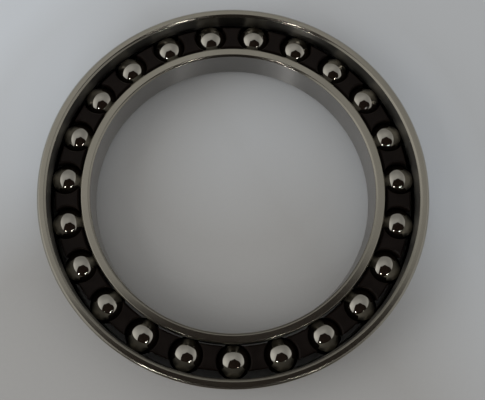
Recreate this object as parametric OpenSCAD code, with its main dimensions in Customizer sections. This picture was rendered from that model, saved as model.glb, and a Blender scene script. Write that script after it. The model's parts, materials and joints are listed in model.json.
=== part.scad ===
// Thin-section radial ball bearing with a one-piece crown cage.
// +Z is the bore axis, and the origin is at the centre of the circle of ball centres.
// The cage's pockets open towards +Z. All sizes are in millimetres.

/* [Outer ring] */
// Outside diameter
outside_d = 80; // [79:0.1:84]
// Width along the axis
outer_w = 11.5; // [10.6:0.1:14]
// Chamfer of the two outside corners
outside_chamfer = 0.5; // [0.2:0.05:0.6]
// Chamfer where each side face meets the raceway shoulder
outer_shoulder_chamfer = 0.45; // [0.2:0.05:0.5]

/* [Inner ring] */
// Bore diameter
bore_d = 58.8; // [55:0.1:59.6]
// Width along the axis
inner_w = 8.5; // [7.6:0.1:10.4]
// Chamfer of the two bore corners
bore_chamfer = 0.4; // [0.2:0.05:0.5]
// Chamfer where each side face meets the raceway shoulder
inner_shoulder_chamfer = 0.3; // [0.1:0.05:0.4]

/* [Balls and raceways] */
// Ball diameter, 9/32 inch
ball_d = 7.144; // [6.9:0.001:7.2]
// Number of balls
ball_count = 23; // [16:1:23]
// Diameter of the circle of ball centres
pitch_d = 69.5; // [69:0.1:70]
// Depth of each raceway groove below its shoulders
groove_depth = 0.26; // [0.2:0.01:0.4]
// Groove radius as a share of the ball diameter
groove_ratio = 0.52; // [0.515:0.005:0.54]
// Running gap between a ball and each raceway
race_gap = 0.02; // [0.01:0.005:0.05]

/* [Cage] */
// Inside diameter
cage_inside_d = 63.7; // [63.5:0.1:64.2]
// Outside diameter
cage_outside_d = 73.4; // [72.8:0.1:74]
// Height of the prong tops above the ball centres
prong_height = 3.45; // [3:0.05:3.8]
// Depth of the cage's back below the ball centres
back_depth = 4.75; // [4.5:0.05:5.2]
// Gap between a ball and its round pocket
pocket_gap = 0.18; // [0.12:0.02:0.24]
// How much narrower than the ball the neck of a pocket is, on the radius
snap = 0.12; // [0.05:0.01:0.2]
// Chamfer round the mouth of each pocket
mouth_chamfer = 0.27; // [0.1:0.01:0.35]
// Chamfer of the cage's round edges
cage_chamfer = 0.3; // [0.1:0.05:0.4]

/* [Hidden] */
$fn = 96;
ball_r = ball_d / 2;
pitch_r = pitch_d / 2;
groove_r = ball_d * groove_ratio;
outer_groove_centre_r = pitch_r + ball_r + race_gap - groove_r;
inner_groove_centre_r = pitch_r - ball_r - race_gap + groove_r;
outer_shoulder_r = pitch_r + ball_r + race_gap - groove_depth;
inner_shoulder_r = pitch_r - ball_r - race_gap + groove_depth;
pocket_r = ball_r + pocket_gap;
neck_r = ball_r - snap;
clear = 1;
steel = [0.66, 0.64, 0.59];
polished_steel = [0.86, 0.86, 0.85];
cage_plastic = [0.13, 0.12, 0.12];
function two_digits(i) = str(i < 10 ? "0" : "", i);
function ball_node(i) = str("ball_", two_digits(i));
function ball_angle(i) = (i - 0.5) * 360 / ball_count;

// A flat band turned about Z, from radius r0 to r1 and from z0 to z1, with a 45 degree
// chamfer of c0 on its two inside edges and c1 on its two outside edges.
module band(r0, r1, z0, z1, c0, c1) {
    rotate_extrude($fn = 360)
        polygon([
            [r0 + c0, z0], [r1 - c1, z0], [r1, z0 + c1], [r1, z1 - c1],
            [r1 - c1, z1], [r0 + c0, z1], [r0, z1 - c0], [r0, z0 + c0]
        ]);
}

// The round-bottomed track that the balls run in, as a full torus to cut away.
module groove(centre_r) {
    rotate_extrude($fn = 360) translate([centre_r, 0]) circle(r = groove_r);
}

// Puts a shape made at the origin at the centre of ball i, turned to face outwards.
module at_ball(i) {
    rotate([0, 0, ball_angle(i)]) translate([pitch_r, 0, 0]) children();
}

// A ball pocket to cut away: a sphere under a neck that is narrower than the ball, so the
// cage snaps on, with a chamfered mouth at the prong tops.
module pocket() {
    sphere(r = pocket_r);
    cylinder(r = neck_r, h = prong_height + clear);
    translate([0, 0, prong_height - mouth_chamfer])
        cylinder(r1 = neck_r, r2 = neck_r + mouth_chamfer + clear, h = mouth_chamfer + clear);
}

module outer_ring() {
    color(steel) difference() {
        band(outer_shoulder_r, outside_d / 2, -outer_w / 2, outer_w / 2,
            outer_shoulder_chamfer, outside_chamfer);
        groove(outer_groove_centre_r);
    }
}

module inner_ring() {
    color(steel) difference() {
        band(bore_d / 2, inner_shoulder_r, -inner_w / 2, inner_w / 2,
            bore_chamfer, inner_shoulder_chamfer);
        groove(inner_groove_centre_r);
    }
}

module cage() {
    color(cage_plastic) difference() {
        band(cage_inside_d / 2, cage_outside_d / 2, -back_depth, prong_height,
            cage_chamfer, cage_chamfer);
        for (i = [1:ball_count]) at_ball(i) pocket();
    }
}

module ball(i) {
    color(polished_steel) at_ball(i) sphere(r = ball_r);
}

outer_ring();
inner_ring();
cage();
for (i = [1:ball_count])
    ball(i);
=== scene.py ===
"""Looks of a thin-section ball bearing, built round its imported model."""

import json
import math

import bmesh
import bpy
from bpy.props import FloatProperty, FloatVectorProperty, IntProperty, PointerProperty
from bpy.types import Operator, Panel, PropertyGroup
from mathutils import Matrix, Quaternion, Vector


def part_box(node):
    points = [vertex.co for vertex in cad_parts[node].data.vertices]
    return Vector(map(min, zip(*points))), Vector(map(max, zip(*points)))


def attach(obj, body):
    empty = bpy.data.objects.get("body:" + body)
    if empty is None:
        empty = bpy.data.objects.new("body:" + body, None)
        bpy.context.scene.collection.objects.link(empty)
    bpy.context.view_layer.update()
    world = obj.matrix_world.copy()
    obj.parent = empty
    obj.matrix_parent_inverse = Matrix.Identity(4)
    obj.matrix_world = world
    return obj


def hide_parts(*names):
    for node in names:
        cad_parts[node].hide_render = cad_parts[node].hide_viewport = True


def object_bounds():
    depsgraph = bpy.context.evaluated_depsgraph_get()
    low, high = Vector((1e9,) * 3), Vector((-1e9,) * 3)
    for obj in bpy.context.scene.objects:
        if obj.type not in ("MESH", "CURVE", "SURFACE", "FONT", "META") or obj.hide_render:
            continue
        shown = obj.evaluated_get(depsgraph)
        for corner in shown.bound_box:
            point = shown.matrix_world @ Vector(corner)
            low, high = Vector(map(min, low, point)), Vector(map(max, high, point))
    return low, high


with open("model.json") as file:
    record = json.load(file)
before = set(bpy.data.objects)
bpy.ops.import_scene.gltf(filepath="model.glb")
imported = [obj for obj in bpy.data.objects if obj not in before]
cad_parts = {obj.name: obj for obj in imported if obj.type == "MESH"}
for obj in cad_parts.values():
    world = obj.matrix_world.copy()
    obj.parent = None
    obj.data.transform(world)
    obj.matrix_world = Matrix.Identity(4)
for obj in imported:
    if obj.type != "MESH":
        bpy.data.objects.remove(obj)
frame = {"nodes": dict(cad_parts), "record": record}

bl_info = {
    "name": "Thin-section ball bearing",
    "version": (1, 0, 0),
    "blender": (4, 5, 0),
    "location": "3D View > Sidebar > Bearing",
    "description": "Builds the rings, the crown cage, the balls and a plain stage round the packed model",
    "category": "Object",
}

MM = 0.001
FULL_TURN = 2 * math.pi
CAD_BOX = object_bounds()
BALL_NODES = sorted(node for node in frame["nodes"] if node.startswith("ball_"))
ZONES = ("face", "wall", "shoulder", "race", "edge")

# Points this close are one point, and points this close to a corner are on it, in metres.
SAME_POINT = 1e-7
AT_CORNER = 1e-6

# After the pockets are cut, points this close are merged and slivers this thin are removed.
CUT_MERGE = 0.002 * MM
CUT_SLIVER = 0.001 * MM

# Half the side of the floor, and how far the floor lies under the bearing.
FLOOR_HALF = 8.0
FLOOR_GAP = 0.02 * MM

# Heights of the two dark cards: over the whole scene, and over the floor, where the card is painted
# shade.
CARD_ABOVE_HEIGHT = 0.30
CARD_FRONT_LIFT = 1 * MM

# Small lamps: azimuth and elevation in degrees, size in metres, power in watts. They all stand
# at one distance from the bearing, in metres.
LAMP_DISTANCE = 0.4
HIGH_LAMPS = ((249, 38, 0.018, 0.030), (297, 37, 0.018, 0.030), (310, 40, 0.012, 0.007))
LOW_LAMPS = ((244, 9, 0.008, 0.080), (255, 9, 0.008, 0.014), (303, 9, 0.008, 0.030))

# The window lamp: distance in metres, azimuth and elevation in degrees, size in metres, power in watts.
WINDOW = (0.6, 195, 35, 0.35, 1.2)

# Width of the camera's sensor, in millimetres.
SENSOR_WIDTH = 36

# Pale parts of the room that the steel mirrors: azimuth and elevation in degrees, how sharply each
# fades away from its middle, and its strength. They are the window side, the far wall and the ceiling.
ROOM_GLOWS = ((190, 24, 4, 0.45), (3, 13, 5.6, 0.25), (102, 69, 12, 0.125))
ROOM_BASE = 0.205


# ---------------------------------------------------------------- sizes read from the frame


def radius_range(node, height=None):
    """Smallest and largest distance from the bore axis of a node's points, at one height or in all."""
    near = 0.01 * MM
    points = [v.co for v in frame["nodes"][node].data.vertices]
    radii = [p.xy.length for p in points if height is None or abs(p.z - height) < near]
    return min(radii), max(radii)


def ball_centre(node):
    """The centre of a ball, as the middle of its box."""
    low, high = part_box(node)
    return (low + high) / 2


def ball_radius():
    """Half the height of a ball's box."""
    low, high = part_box(BALL_NODES[0])
    return (high.z - low.z) / 2


def pitch_radius():
    """Distance of the ball centres from the bore axis."""
    return ball_centre(BALL_NODES[0]).xy.length


def body_of_node(node):
    """The moving body that a node belongs to."""
    bodies = frame["record"]["behaviour"]["bodies"]
    return next(body for body, nodes in bodies.items() if node in nodes)


# ---------------------------------------------------------------- what a user may change


class BearingShape(PropertyGroup):
    """Sizes of the finished edges and of the raceways."""

    ring_steps: IntProperty(
        name="Ring steps", description="Faces round each ring", default=322, min=46, max=460)
    ring_edge: FloatProperty(
        name="Ring edge", description="Rounding of the rings' corners",
        default=0.11 * MM, min=0.02 * MM, max=0.2 * MM, unit="LENGTH", precision=5)
    race_edge: FloatProperty(
        name="Raceway edge", description="Rounding where a raceway meets its shoulder",
        default=0.05 * MM, min=0.01 * MM, max=0.1 * MM, unit="LENGTH", precision=5)
    groove_ratio: FloatProperty(
        name="Groove ratio", description="Raceway groove radius as a share of the ball diameter",
        default=0.52, min=0.51, max=0.54)
    race_gap: FloatProperty(
        name="Raceway gap", description="Running gap between a ball and a raceway",
        default=0.02 * MM, min=0.005 * MM, max=0.05 * MM, unit="LENGTH", precision=5)
    groove_steps: IntProperty(
        name="Groove steps", description="Faces across each raceway", default=16, min=8, max=32)
    ball_detail: IntProperty(
        name="Ball detail", description="Times that each ball's faces are divided",
        default=6, min=4, max=6)
    pocket_gap: FloatProperty(
        name="Pocket gap", description="Gap between a ball and its pocket",
        default=0.18 * MM, min=0.1 * MM, max=0.24 * MM, unit="LENGTH", precision=5)
    snap: FloatProperty(
        name="Snap", description="How much narrower than the ball a pocket's neck is, on the radius",
        default=0.12 * MM, min=0.05 * MM, max=0.2 * MM, unit="LENGTH", precision=5)
    mouth: FloatProperty(
        name="Mouth chamfer", description="Chamfer round the mouth of each pocket",
        default=0.27 * MM, min=0.1 * MM, max=0.35 * MM, unit="LENGTH", precision=5)
    pocket_steps: IntProperty(
        name="Pocket steps", description="Faces round each pocket", default=72, min=24, max=96)


class BearingFinish(PropertyGroup):
    """Colours of the steels and of the cage."""

    ground: FloatVectorProperty(
        name="Ground steel", description="Colour of the ground side faces",
        default=(0.52, 0.485, 0.40), subtype="COLOR", min=0, max=1)
    bore: FloatVectorProperty(
        name="Ground bore", description="Colour of the ground bore and outside diameter",
        default=(0.38, 0.37, 0.355), subtype="COLOR", min=0, max=1)
    polished: FloatVectorProperty(
        name="Polished steel", description="Colour of the shoulders and raceways",
        default=(0.45, 0.43, 0.38), subtype="COLOR", min=0, max=1)
    ball: FloatVectorProperty(
        name="Ball steel", description="Colour of the mirror-polished balls",
        default=(0.635, 0.60, 0.52), subtype="COLOR", min=0, max=1)
    cage: FloatVectorProperty(
        name="Cage plastic", description="Colour of the cage",
        default=(0.0060, 0.0038, 0.0028), subtype="COLOR", min=0, max=1)


class BearingStage(PropertyGroup):
    """Camera, floor and light."""

    distance: FloatProperty(
        name="Distance", description="From the camera to the point it looks at",
        default=142.25 * MM, min=0.05, max=1, unit="LENGTH", precision=4)
    azimuth: FloatProperty(
        name="Azimuth", description="Turn of the camera about the bore axis",
        default=math.radians(4.34), subtype="ANGLE")
    elevation: FloatProperty(
        name="Elevation", description="Height of the camera above the horizon",
        default=math.radians(75.71), subtype="ANGLE")
    roll: FloatProperty(
        name="Roll", description="Turn of the camera about its own line of sight",
        default=math.radians(-0.39), subtype="ANGLE")
    aim: FloatVectorProperty(
        name="Aim", description="Point on the outer ring's upper plane, from the bore axis",
        default=(-2.91 * MM, -2.36 * MM), size=2, subtype="XYZ", unit="LENGTH", precision=5)
    lens: FloatProperty(
        name="Lens", description="Focal length in millimetres", default=52.08, min=20, max=120)
    shift: FloatVectorProperty(
        name="Shift", description="Shift of the lens", default=(0.0507, -0.0081), size=2)
    floor: FloatVectorProperty(
        name="Floor", description="Colour of the floor", default=(0.33, 0.325, 0.315), subtype="COLOR")
    # Colour of the painted light on the floor, where the most is painted.
    floor_pale: FloatVectorProperty(
        name="Pale floor", description="Colour of the floor where it is palest",
        default=(0.52, 0.545, 0.57), subtype="COLOR")
    sky: FloatVectorProperty(
        name="Surroundings", description="Colour of the light from all round",
        default=(1.0, 1.0, 1.0), subtype="COLOR")
    level: FloatProperty(
        name="Light level", description="Strength of the light from all round", default=0.7, min=0, max=1)


# ---------------------------------------------------------------- shader maths


class Field:
    """One value that varies over a surface, with Python's operators."""

    def __init__(self, graph, socket):
        self.graph = graph
        self.socket = socket

    def __add__(self, other):
        return self.graph.maths("ADD", self, other)

    def __radd__(self, other):
        return self.graph.maths("ADD", other, self)

    def __sub__(self, other):
        return self.graph.maths("SUBTRACT", self, other)

    def __rsub__(self, other):
        return self.graph.maths("SUBTRACT", other, self)

    def __mul__(self, other):
        return self.graph.maths("MULTIPLY", self, other)

    def __rmul__(self, other):
        return self.graph.maths("MULTIPLY", other, self)

    def __pow__(self, other):
        return self.graph.maths("POWER", self, other)


class Graph:
    """The nodes of a material or of the world."""

    def __init__(self, tree):
        self.tree = tree

    def node(self, kind, settings=None, inputs=None, out=0):
        """Adds a node: its settings first, then the values or links of its sockets."""
        made = self.tree.nodes.new(kind)
        for name, value in (settings or {}).items():
            setattr(made, name, value)
        for name, value in (inputs or {}).items():
            self.feed(made.inputs[name], value)
        return Field(self, made.outputs[out])

    def feed(self, socket, value):
        """Links a field to a socket, or sets the socket's own value."""
        if isinstance(value, Field):
            self.tree.links.new(value.socket, socket)
        else:
            socket.default_value = value

    def maths(self, operation, a, b):
        """One Math node."""
        return self.node("ShaderNodeMath", {"operation": operation}, {0: a, 1: b})

    def towards(self, vector, aim):
        """How far a vector points the way of aim: 1 straight at it, 0 at a right angle or beyond."""
        dot = self.node(
            "ShaderNodeVectorMath", {"operation": "DOT_PRODUCT"}, {0: vector, 1: aim}, "Value")
        return self.maths("MAXIMUM", dot, 0.0)


class Finish(Graph):
    """The nodes of one material, round its shader."""

    def __init__(self, name):
        self.material = bpy.data.materials.new(name)
        self.material.use_nodes = True
        super().__init__(self.material.node_tree)
        self.shader = self.tree.nodes["Principled BSDF"]

    def set(self, **values):
        """Feeds the shader's sockets: base_color for Base Color, and so on."""
        for name, value in values.items():
            socket = name.replace("_", " ").title().replace("Ior", "IOR")
            self.feed(self.shader.inputs[socket], value)

    def place(self):
        """The point on the piece, in metres, as x, y and z."""
        point = self.node("ShaderNodeTexCoord", out="Object")
        return [self.node("ShaderNodeSeparateXYZ", inputs={0: point}, out=i) for i in range(3)]

    def noise(self, scale, detail):
        """Cloudy noise over the piece, from 0 to 1. The scale is in waves to the metre."""
        point = self.node("ShaderNodeTexCoord", out="Object")
        return self.node(
            "ShaderNodeTexNoise",
            inputs={"Vector": point, "Scale": scale, "Detail": detail, "Roughness": 0.5})

    def lines(self, along, scale, detail=2):
        """Noise that changes in one direction only, such as grinding lines."""
        return self.node(
            "ShaderNodeTexNoise", {"noise_dimensions": "1D"},
            {"W": along * scale, "Scale": 1.0, "Detail": detail, "Roughness": 0.6})

    def spread(self, value, low, high, to_low=0.0, to_high=1.0):
        """Stretches a range of values to another range, held at both ends."""
        return self.node(
            "ShaderNodeMapRange", {"clamp": True},
            {"Value": value, "From Min": low, "From Max": high, "To Min": to_low, "To Max": to_high})

    def mix(self, factor, a, b):
        """A colour between a and b."""
        return self.node(
            "ShaderNodeMix", {"data_type": "RGBA"}, {0: factor, 6: solid(a), 7: solid(b)}, 2)

    def cloudy(self, clouds, colour, first, second, low=0.35, high=0.65):
        """A colour that drifts between two shades of itself."""
        return self.mix(self.spread(clouds, low, high), shade(colour, first), shade(colour, second))

    def bump(self, height, distance):
        """A Bump node from a height from 0 to 1."""
        return self.node("ShaderNodeBump", inputs={"Distance": distance, "Height": height})


def solid(colour):
    """A colour with alpha, or a field as it is."""
    return colour if isinstance(colour, Field) else (*colour[:3], 1.0)


def shade(colour, factor):
    """A colour made lighter or darker."""
    return tuple(min(1.0, part * factor) for part in colour)


# ---------------------------------------------------------------- materials


def ground_face_steel(colour):
    """Side faces of the rings: fine grinding lines round the bore, faint clouds and handling marks."""
    graph = Finish("ground_face_steel")
    x, y, _ = graph.place()
    lines = graph.lines((x * x + y * y) ** 0.5, scale=16000)
    clouds = graph.noise(scale=90, detail=3)
    grain = graph.noise(scale=9000, detail=2)
    graph.set(
        base_color=graph.cloudy(clouds, colour, 0.95, 1.05),
        metallic=1.0,
        roughness=graph.spread(clouds, 0.3, 0.7, 0.14, 0.17) + lines * 0.03,
        normal=graph.bump(lines * 0.6 + grain * 0.4, 0.0005 * MM))
    return graph.material


def ground_wall_steel(colour):
    """The bore and the outside diameter: grinding lines run round, so light smears along the axis."""
    graph = Finish("ground_wall_steel")
    z = graph.place()[2]
    lines = graph.lines(z, scale=22000, detail=3)
    clouds = graph.noise(scale=120, detail=3)
    graph.set(
        base_color=graph.cloudy(clouds, colour, 0.96, 1.04),
        metallic=1.0,
        roughness=graph.spread(clouds, 0.3, 0.7, 0.36, 0.4) + lines * 0.02,
        anisotropic=1.0,
        anisotropic_rotation=0.25)
    return graph.material


def shoulder_steel(colour):
    """The shoulders beside the raceways: polished, with faint lines round, and darkened by painted shade.
    """
    graph = Finish("shoulder_steel")
    z = graph.place()[2]
    lines = graph.lines(z, scale=15000, detail=3)
    clouds = graph.noise(scale=260, detail=3)
    graph.set(
        base_color=graph.cloudy(clouds, colour, 0.50, 0.58),
        metallic=1.0,
        roughness=graph.spread(clouds, 0.3, 0.7, 0.30, 0.33) + lines * 0.02,
        anisotropic=1.0,
        anisotropic_rotation=0.25)
    return graph.material


def raceway_steel_oil_and_shade(colour):
    """The raceways: lapped, and darkened to a fifth by painted shade in the deep grooves and by a film of
    oil.
    """
    graph = Finish("raceway_steel_oil_and_shade")
    clouds = graph.noise(scale=400, detail=3)
    graph.set(
        base_color=graph.cloudy(clouds, colour, 0.16, 0.24),
        metallic=1.0,
        roughness=graph.spread(clouds, 0.3, 0.7, 0.12, 0.17))
    return graph.material


def edge_steel(colour):
    """Chamfers of the rings: turned smooth, with fine lines round."""
    graph = Finish("edge_steel")
    x, y, _ = graph.place()
    lines = graph.lines((x * x + y * y) ** 0.5, scale=12000)
    clouds = graph.noise(scale=300, detail=4)
    graph.set(
        base_color=graph.cloudy(clouds, colour, 0.72, 0.8, low=0.3, high=0.7),
        metallic=1.0,
        roughness=graph.spread(clouds, 0.3, 0.7, 0.14, 0.155) + lines * 0.02)
    return graph.material


def ball_steel(colour):
    """Mirror-polished balls with a trace of haze."""
    graph = Finish("ball_steel")
    haze = graph.noise(scale=700, detail=3)
    ripple = graph.noise(scale=350, detail=1)
    graph.set(
        base_color=graph.cloudy(haze, colour, 1.0, 0.93, low=0.4, high=0.7),
        metallic=1.0,
        roughness=graph.spread(haze, 0.35, 0.7, 0.03, 0.05),
        normal=graph.bump(ripple, 0.0004 * MM))
    return graph.material


def cage_plastic(colour):
    """Near-black moulded plastic with a fine grain."""
    graph = Finish("cage_plastic")
    grain = graph.noise(scale=6000, detail=3)
    clouds = graph.noise(scale=350, detail=3)
    graph.set(
        base_color=graph.cloudy(clouds, colour, 0.8, 1.25, low=0.3, high=0.7),
        roughness=graph.spread(clouds, 0.3, 0.7, 0.36, 0.5),
        specular_ior_level=0.12,
        normal=graph.bump(grain, 0.004 * MM))
    return graph.material


def floor_paper_painted_light(colour, painted_light_colour):
    """Matt paper with a faint tooth. Painted light makes it paler towards the window and beside the
    bearing.
    """
    graph = Finish("floor_paper_painted_light")
    x, y, _ = graph.place()
    tooth = graph.noise(scale=1500, detail=4)
    clouds = graph.noise(scale=25, detail=2)
    radius = (x * x + y * y) ** 0.5
    # Masks of painted light: towards the window, to the right, in the bore, and by the bearing's sides.
    back = y - 14 * MM
    to_window = graph.spread(y * 0.64 - x * 0.77, 22 * MM, 66 * MM)
    to_right = graph.spread(x * 0.8 + y * 0.6, 8 * MM, 36 * MM)
    middle = graph.spread((x * x + back * back) ** 0.5, 24 * MM, 4 * MM)
    close = graph.spread(radius, 58 * MM, 44 * MM)
    at_sides = graph.spread(x * x, (20 * MM) ** 2, (40 * MM) ** 2)
    behind = graph.spread(y, -20 * MM, 4 * MM)
    far = graph.spread(radius, 80 * MM, 170 * MM)
    halfway = tuple((a + b) / 2 for a, b in zip(colour, painted_light_colour))
    paper = graph.cloudy(clouds * 0.6 + tooth * 0.4, colour, 0.98, 1.02, low=0.3, high=0.7)
    # All the painted light on the floor, which also paints light over the bearing's shade at its sides.
    pale = to_window + to_right * 0.50 + middle * 0.30 + close * at_sides * behind * 0.45
    graph.set(
        base_color=graph.mix(far, graph.mix(pale, paper, painted_light_colour), halfway),
        roughness=0.9,
        specular_ior_level=0.1,
        normal=graph.bump(tooth, 0.01 * MM))
    return graph.material


def flat_black(name):
    """Matt brown-black for a card that only the steel sees."""
    graph = Finish(name)
    graph.set(base_color=(0.03, 0.02, 0.016, 1), roughness=1.0, specular_ior_level=0.0)
    return graph.material


# ---------------------------------------------------------------- mesh work


def add_object(name, bm, materials):
    """Makes an object of a bmesh, with its place in its mesh."""
    mesh = bpy.data.meshes.new(name)
    bm.to_mesh(mesh)
    bm.free()
    piece = bpy.data.objects.new(name, mesh)
    bpy.context.scene.collection.objects.link(piece)
    for material in materials:
        mesh.materials.append(material)
    return piece


def spun(outline, steps, closed=True):
    """An outline of (radius, height) points, turned once round Z. An open one starts and ends on Z."""
    bm = bmesh.new()
    points = [bm.verts.new((radius, 0, height)) for radius, height in outline]
    ends = points[1:] + points[:1] if closed else points[1:]
    for start, end in zip(points, ends):
        bm.edges.new((start, end))
    bmesh.ops.spin(
        bm, geom=bm.verts[:] + bm.edges[:], cent=(0, 0, 0), axis=(0, 0, 1),
        dvec=(0, 0, 0), angle=FULL_TURN, steps=steps, use_merge=True, use_duplicate=False)
    bmesh.ops.remove_doubles(bm, verts=bm.verts, dist=SAME_POINT)
    bmesh.ops.recalc_face_normals(bm, faces=bm.faces)
    return bm


def edges_round(bm, corners):
    """The edges that run round the axis through the given (radius, height) corners."""
    def at_corner(vert):
        return any(
            abs(vert.co.xy.length - radius) < AT_CORNER and abs(vert.co.z - height) < AT_CORNER
            for radius, height in corners)

    def level(start, end):
        return (
            abs(start.co.z - end.co.z) < SAME_POINT
            and abs(start.co.xy.length - end.co.xy.length) < SAME_POINT)

    marked = {vert for vert in bm.verts if at_corner(vert)}
    return [edge for edge in bm.edges if marked.issuperset(edge.verts) and level(*edge.verts)]


def bevel(bm, edges, width, segments):
    """Rounds edges."""
    bmesh.ops.bevel(
        bm, geom=edges, offset=width, offset_type="OFFSET", affect="EDGES",
        segments=segments, profile=0.5, material=-1, clamp_overlap=True)


def shade_smooth(bm, sharpest):
    """Smooth shading, broken at edges that turn more than the given angle."""
    for face in bm.faces:
        face.smooth = True
    for edge in bm.edges:
        edge.smooth = edge.calc_face_angle(0.0) < sharpest


def even_normals(piece):
    """Lets the wide faces set the shading, so that flats stay flat up to their rounded edges."""
    modifier = piece.modifiers.new("even_normals", "WEIGHTED_NORMAL")
    modifier.keep_sharp = True


def distance_to_stretch(point, start, end):
    """Distance of a point from a straight stretch, all in (radius, height)."""
    point, start, end = Vector(point), Vector(start), Vector(end)
    along = end - start
    share = max(0.0, min(1.0, (point - start).dot(along) / along.length_squared))
    return (point - start - along * share).length


def paint_zones(bm, outline, zones):
    """Gives each face the material of the stretch of outline that it lies on."""
    stretches = list(zip(outline, outline[1:] + outline[:1], zones))
    known = {}
    for face in bm.faces:
        middle = face.calc_center_median()
        place = (round(middle.xy.length, 6), round(middle.z, 6))
        if place not in known:
            nearest = min(stretches, key=lambda s: distance_to_stretch(place, s[0], s[1]))
            known[place] = ZONES.index(nearest[2])
        face.material_index = known[place]


def groove_points(shoulder, shape, side):
    """The raceway's arc from its lower edge to its upper edge. side is 1 for the outer ring."""
    groove = 2 * ball_radius() * shape.groove_ratio
    centre = pitch_radius() + side * (ball_radius() + shape.race_gap - groove)
    half_angle = math.acos(side * (shoulder - centre) / groove)
    steps = shape.groove_steps
    angles = [half_angle * (2 * i / steps - 1) for i in range(steps + 1)]
    return [(centre + side * groove * math.cos(a), groove * math.sin(a)) for a in angles]


def ring_outline(node, shape):
    """Outline of a ring's section, the zone of each stretch, and the corners to round."""
    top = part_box(node)[1].z
    inside, outside = radius_range(node)
    face_in, face_out = radius_range(node, top)
    outer = node == "outer_ring"
    shoulder = inside if outer else outside
    groove = groove_points(shoulder, shape, 1 if outer else -1)
    in_chamfer, out_chamfer = face_in - inside, outside - face_out
    upper = [(outside, top - out_chamfer), (face_out, top), (face_in, top), (inside, top - in_chamfer)]
    lower = [(radius, -height) for radius, height in reversed(upper)]
    side_zones = ["edge", "face", "edge"]
    race_zones = ["shoulder"] + ["race"] * shape.groove_steps + ["shoulder"]
    if outer:
        outline = lower + upper + groove[::-1]
        zones = side_zones + ["wall"] + side_zones + race_zones
    else:
        outline = lower + groove + upper
        zones = side_zones + race_zones + side_zones + ["wall"]
    return outline, zones, lower + upper, [groove[0], groove[-1]]


def make_ring(node, name, materials):
    """One ring: spun section, rounded corners, polished raceway."""
    shape = bpy.context.scene.bearing_shape
    outline, zones, corners, lips = ring_outline(node, shape)
    bm = spun(outline, shape.ring_steps)
    bevel(bm, edges_round(bm, corners), shape.ring_edge, segments=3)
    bevel(bm, edges_round(bm, lips), shape.race_edge, segments=2)
    paint_zones(bm, outline, zones)
    shade_smooth(bm, sharpest=math.radians(40))
    ring = add_object(name, bm, materials)
    even_normals(ring)
    return ring


def finish_piece(piece, node):
    """Rides a piece on the node's body, in place of the node."""
    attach(piece, body_of_node(node))
    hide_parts(node)


def cage_band(shape):
    """The cage before its pockets are cut: a flat band with chamfered edges."""
    low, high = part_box("cage")
    inside, outside = radius_range("cage")
    chamfer = radius_range("cage", low.z)[0] - inside
    outline = [
        (inside, low.z + chamfer), (inside + chamfer, low.z), (outside - chamfer, low.z),
        (outside, low.z + chamfer), (outside, high.z - chamfer), (outside - chamfer, high.z),
        (inside + chamfer, high.z), (inside, high.z - chamfer)]
    return spun(outline, shape.ring_steps)


def pocket_cutter(shape):
    """One pocket as a solid: a sphere, a neck that is narrower than the ball, and a wide mouth."""
    prong_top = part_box("cage")[1].z
    pocket = ball_radius() + shape.pocket_gap
    neck = ball_radius() - shape.snap
    above = 1.0 * MM
    neck_angle = math.acos(neck / pocket)
    steps = shape.pocket_steps // 3
    arc = [-math.pi / 2 + (math.pi / 2 + neck_angle) * i / steps for i in range(steps + 1)]
    outline = [(0, -pocket)] + [(pocket * math.cos(a), pocket * math.sin(a)) for a in arc[1:]]
    outline += [
        (neck, prong_top - shape.mouth), (neck + shape.mouth + above, prong_top + above),
        (0, prong_top + above)]
    return spun(outline, shape.pocket_steps, closed=False)


def all_pockets(shape):
    """Every pocket, one at each ball."""
    one = bpy.data.meshes.new("one_pocket")
    cutter = pocket_cutter(shape)
    cutter.to_mesh(one)
    cutter.free()
    bm = bmesh.new()
    for node in BALL_NODES:
        centre = ball_centre(node)
        place = Matrix.Translation(centre) @ Matrix.Rotation(math.atan2(centre.y, centre.x), 4, "Z")
        before = len(bm.verts)
        bm.from_mesh(one)
        bm.verts.ensure_lookup_table()
        bmesh.ops.transform(bm, matrix=place, verts=bm.verts[before:])
    bpy.data.meshes.remove(one)
    return bm


def cut(piece, cutter):
    """Cuts one object from another and leaves a plain mesh."""
    modifier = piece.modifiers.new("cut", "BOOLEAN")
    modifier.operation = "DIFFERENCE"
    modifier.solver = "EXACT"
    modifier.object = cutter
    bpy.context.view_layer.update()
    evaluated = piece.evaluated_get(bpy.context.evaluated_depsgraph_get())
    mesh = bpy.data.meshes.new_from_object(evaluated)
    piece.modifiers.remove(modifier)
    piece.data = mesh
    bpy.data.objects.remove(cutter)


# ---------------------------------------------------------------- operators


def ring_materials():
    """The five finishes of a ring, in the order of ZONES, made once for both rings."""
    finish = bpy.context.scene.bearing_finish
    makers = (
        (ground_face_steel, finish.ground), (ground_wall_steel, finish.bore),
        (shoulder_steel, finish.polished), (raceway_steel_oil_and_shade, finish.polished), (edge_steel, finish.ground))
    return [bpy.data.materials.get(maker.__name__) or maker(colour) for maker, colour in makers]


class BEARING_OT_outer_ring(Operator):
    """Makes the outer ring with its ground faces and polished raceway"""

    bl_idname = "bearing.outer_ring"
    bl_label = "Outer ring"

    def execute(self, context):
        ring = make_ring("outer_ring", "outer_ring_steel", ring_materials())
        finish_piece(ring, "outer_ring")
        return {"FINISHED"}


class BEARING_OT_inner_ring(Operator):
    """Makes the inner ring with its ground bore and polished raceway"""

    bl_idname = "bearing.inner_ring"
    bl_label = "Inner ring"

    def execute(self, context):
        ring = make_ring("inner_ring", "inner_ring_steel", ring_materials())
        finish_piece(ring, "inner_ring")
        return {"FINISHED"}


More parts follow.
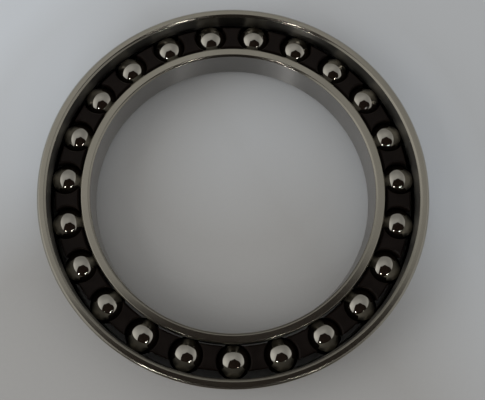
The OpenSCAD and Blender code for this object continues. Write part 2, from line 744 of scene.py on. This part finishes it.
class BEARING_OT_cage(Operator):
    """Makes the crown cage and cuts its pockets"""

    bl_idname = "bearing.cage"
    bl_label = "Crown cage"

    def execute(self, context):
        shape = context.scene.bearing_shape
        plastic = cage_plastic(context.scene.bearing_finish.cage)
        cage = add_object("cage_crown", cage_band(shape), [plastic])
        cut(cage, add_object("pocket_cutter", all_pockets(shape), []))
        bm = bmesh.new()
        bm.from_mesh(cage.data)
        bmesh.ops.remove_doubles(bm, verts=bm.verts, dist=CUT_MERGE)
        bmesh.ops.dissolve_degenerate(bm, edges=bm.edges, dist=CUT_SLIVER)
        many_sided = [face for face in bm.faces if len(face.verts) > 4]
        bmesh.ops.triangulate(bm, faces=many_sided, ngon_method="BEAUTY")
        shade_smooth(bm, sharpest=math.radians(30))
        bm.to_mesh(cage.data)
        bm.free()
        even_normals(cage)
        finish_piece(cage, "cage")
        return {"FINISHED"}


class BEARING_OT_balls(Operator):
    """Makes every ball where its node is"""

    bl_idname = "bearing.balls"
    bl_label = "Balls"

    def execute(self, context):
        material = ball_steel(context.scene.bearing_finish.ball)
        for node in BALL_NODES:
            bm = bmesh.new()
            bmesh.ops.create_icosphere(
                bm, subdivisions=context.scene.bearing_shape.ball_detail, radius=ball_radius(),
                matrix=Matrix.Translation(ball_centre(node)))
            shade_smooth(bm, sharpest=math.radians(60))
            finish_piece(add_object(f"{node}_steel", bm, [material]), node)
        return {"FINISHED"}


class BEARING_OT_stage(Operator):
    """Makes the floor, the light and the camera"""

    bl_idname = "bearing.stage"
    bl_label = "Stage"

    def execute(self, context):
        stage = context.scene.bearing_stage
        add_floor(stage)
        add_dark_cards()
        add_world(context.scene, stage)
        add_lamps(context.scene)
        add_camera(context.scene, stage)
        context.scene.view_settings.view_transform = "Standard"
        return {"FINISHED"}


def add_floor(stage):
    """A wide sheet of paper under the outer ring."""
    bm = bmesh.new()
    height = Matrix.Translation((0, 0, CAD_BOX[0].z - FLOOR_GAP))
    bmesh.ops.create_grid(bm, x_segments=1, y_segments=1, size=FLOOR_HALF, matrix=height)
    add_object("paper_floor", bm, [floor_paper_painted_light(stage.floor, stage.floor_pale)])


def add_card(name, outline, height, material):
    """A flat card at one height, which only shows in the steel."""
    bm = bmesh.new()
    bm.faces.new([bm.verts.new((x, y, height)) for x, y in outline])
    card = add_object(name, bm, [material])
    card.visible_camera = False
    card.visible_shadow = False
    card.visible_diffuse = False


def add_dark_cards():
    """A dark card over the bearing and the camera, and one on the floor in front: painted shade that only
    the steel shows.
    """
    above = [
        (-0.22, -0.26), (-0.18, -0.14), (-0.12, -0.01), (-0.04, 0.01), (-0.03, 0.03), (0.00, 0.03),
        (0.01, 0.05), (0.06, 0.05), (0.11, 0.02), (0.25, -0.02), (0.36, -0.13), (0.42, -0.52),
        (2.7, -3.3), (1.2, -7.4), (-1.9, -7.0), (-2.4, -3.4), (-0.32, -0.45)]
    front = [(-0.9, -1.6), (0.9, -1.6), (0.16, -0.075), (-0.08, -0.075)]
    black = flat_black("card_black")
    add_card("dark_card_above", above, CARD_ABOVE_HEIGHT, black)
    add_card("dark_card_front", front, CAD_BOX[0].z + CARD_FRONT_LIFT, black)


def add_area(scene, name, place, size, power):
    """A square soft light that faces the bearing."""
    data = bpy.data.lights.new(name, "AREA")
    data.shape = "SQUARE"
    data.size = size
    data.energy = power
    lamp = bpy.data.objects.new(name, data)
    lamp.location = place
    lamp.rotation_mode = "QUATERNION"
    lamp.rotation_quaternion = (-Vector(place)).to_track_quat("-Z", "Y")
    scene.collection.objects.link(lamp)
    return lamp


def polar(distance, azimuth, elevation):
    """A point seen from the bearing, with azimuth counted from +X towards +Y, in degrees."""
    a, e = math.radians(azimuth), math.radians(elevation)
    return Vector((math.cos(a) * math.cos(e), math.sin(a) * math.cos(e), math.sin(e))) * distance


def add_world(scene, stage):
    """Even light from all round. The steel mirrors it dimmer, with paler parts of the room."""
    world = bpy.data.worlds.new("surroundings")
    world.use_nodes = True
    graph = Graph(world.node_tree)
    direction = graph.node("ShaderNodeTexCoord", out="Generated")
    mirrored = graph.node("ShaderNodeLightPath", out="Is Glossy Ray")
    glows = [
        graph.towards(direction, polar(1, azimuth, elevation)) ** sharpness * strength
        for azimuth, elevation, sharpness, strength in ROOM_GLOWS]
    seen_in_steel = sum(glows, ROOM_BASE)
    background = world.node_tree.nodes["Background"]
    graph.feed(background.inputs["Color"], solid(stage.sky))
    graph.feed(background.inputs["Strength"], mirrored * seen_in_steel + (1 - mirrored) * stage.level)
    scene.world = world


def add_lamps(scene):
    """A soft window on the left for the floor, and small lamps that make the streaks and sparks."""
    distance, azimuth, elevation, size, power = WINDOW
    window = add_area(scene, "soft_window", polar(distance, azimuth, elevation), size, power)
    window.visible_glossy = False
    for azimuth, elevation, size, power in HIGH_LAMPS + LOW_LAMPS:
        name = f"small_lamp_{azimuth}_{elevation}"
        add_area(scene, name, polar(LAMP_DISTANCE, azimuth, elevation), size, power)


def add_camera(scene, stage):
    """The camera, aimed at the upper plane of the outer ring."""
    a, e = stage.azimuth, stage.elevation
    back = Vector((math.sin(a) * math.cos(e), -math.cos(a) * math.cos(e), math.sin(e)))
    aim = Vector((*stage.aim, CAD_BOX[1].z))
    data = bpy.data.cameras.new("camera")
    data.sensor_width = SENSOR_WIDTH
    data.lens = stage.lens
    data.shift_x, data.shift_y = stage.shift
    data.clip_start = 10 * MM
    camera = bpy.data.objects.new("camera", data)
    camera.location = aim + back * stage.distance
    camera.rotation_mode = "QUATERNION"
    camera.rotation_quaternion = (-back).to_track_quat("-Z", "Y") @ Quaternion((0, 0, 1), stage.roll)
    scene.collection.objects.link(camera)
    scene.camera = camera


class BEARING_PT_panel(Panel):
    """Lists the pieces and their settings."""

    bl_label = "Ball bearing"
    bl_idname = "BEARING_PT_panel"
    bl_space_type = "VIEW_3D"
    bl_region_type = "UI"
    bl_category = "Bearing"

    def draw(self, context):
        layout = self.layout
        for operator in OPERATORS:
            layout.operator(operator.bl_idname)
        for group in (getattr(context.scene, name) for name in GROUPS):
            box = layout.box()
            for setting in group.bl_rna.properties.keys():
                if setting not in {"rna_type", "name"}:
                    box.prop(group, setting)


GROUPS = {"bearing_shape": BearingShape, "bearing_finish": BearingFinish, "bearing_stage": BearingStage}
OPERATORS = (
    BEARING_OT_outer_ring, BEARING_OT_inner_ring, BEARING_OT_cage, BEARING_OT_balls, BEARING_OT_stage)


def register():
    """Registers the classes and hangs the settings on the scene."""
    for group in GROUPS.values():
        bpy.utils.register_class(group)
    for name, group in GROUPS.items():
        setattr(bpy.types.Scene, name, PointerProperty(type=group))
    for operator in OPERATORS:
        bpy.utils.register_class(operator)
    bpy.utils.register_class(BEARING_PT_panel)


def unregister():
    """Undoes register."""
    bpy.utils.unregister_class(BEARING_PT_panel)
    for operator in reversed(OPERATORS):
        bpy.utils.unregister_class(operator)
    for name, group in reversed(list(GROUPS.items())):
        delattr(bpy.types.Scene, name)
        bpy.utils.unregister_class(group)


def main():
    """Builds everything in order."""
    register()
    bpy.ops.bearing.outer_ring()
    bpy.ops.bearing.inner_ring()
    bpy.ops.bearing.cage()
    bpy.ops.bearing.balls()
    bpy.ops.bearing.stage()


if __name__ == "__main__":
    main()
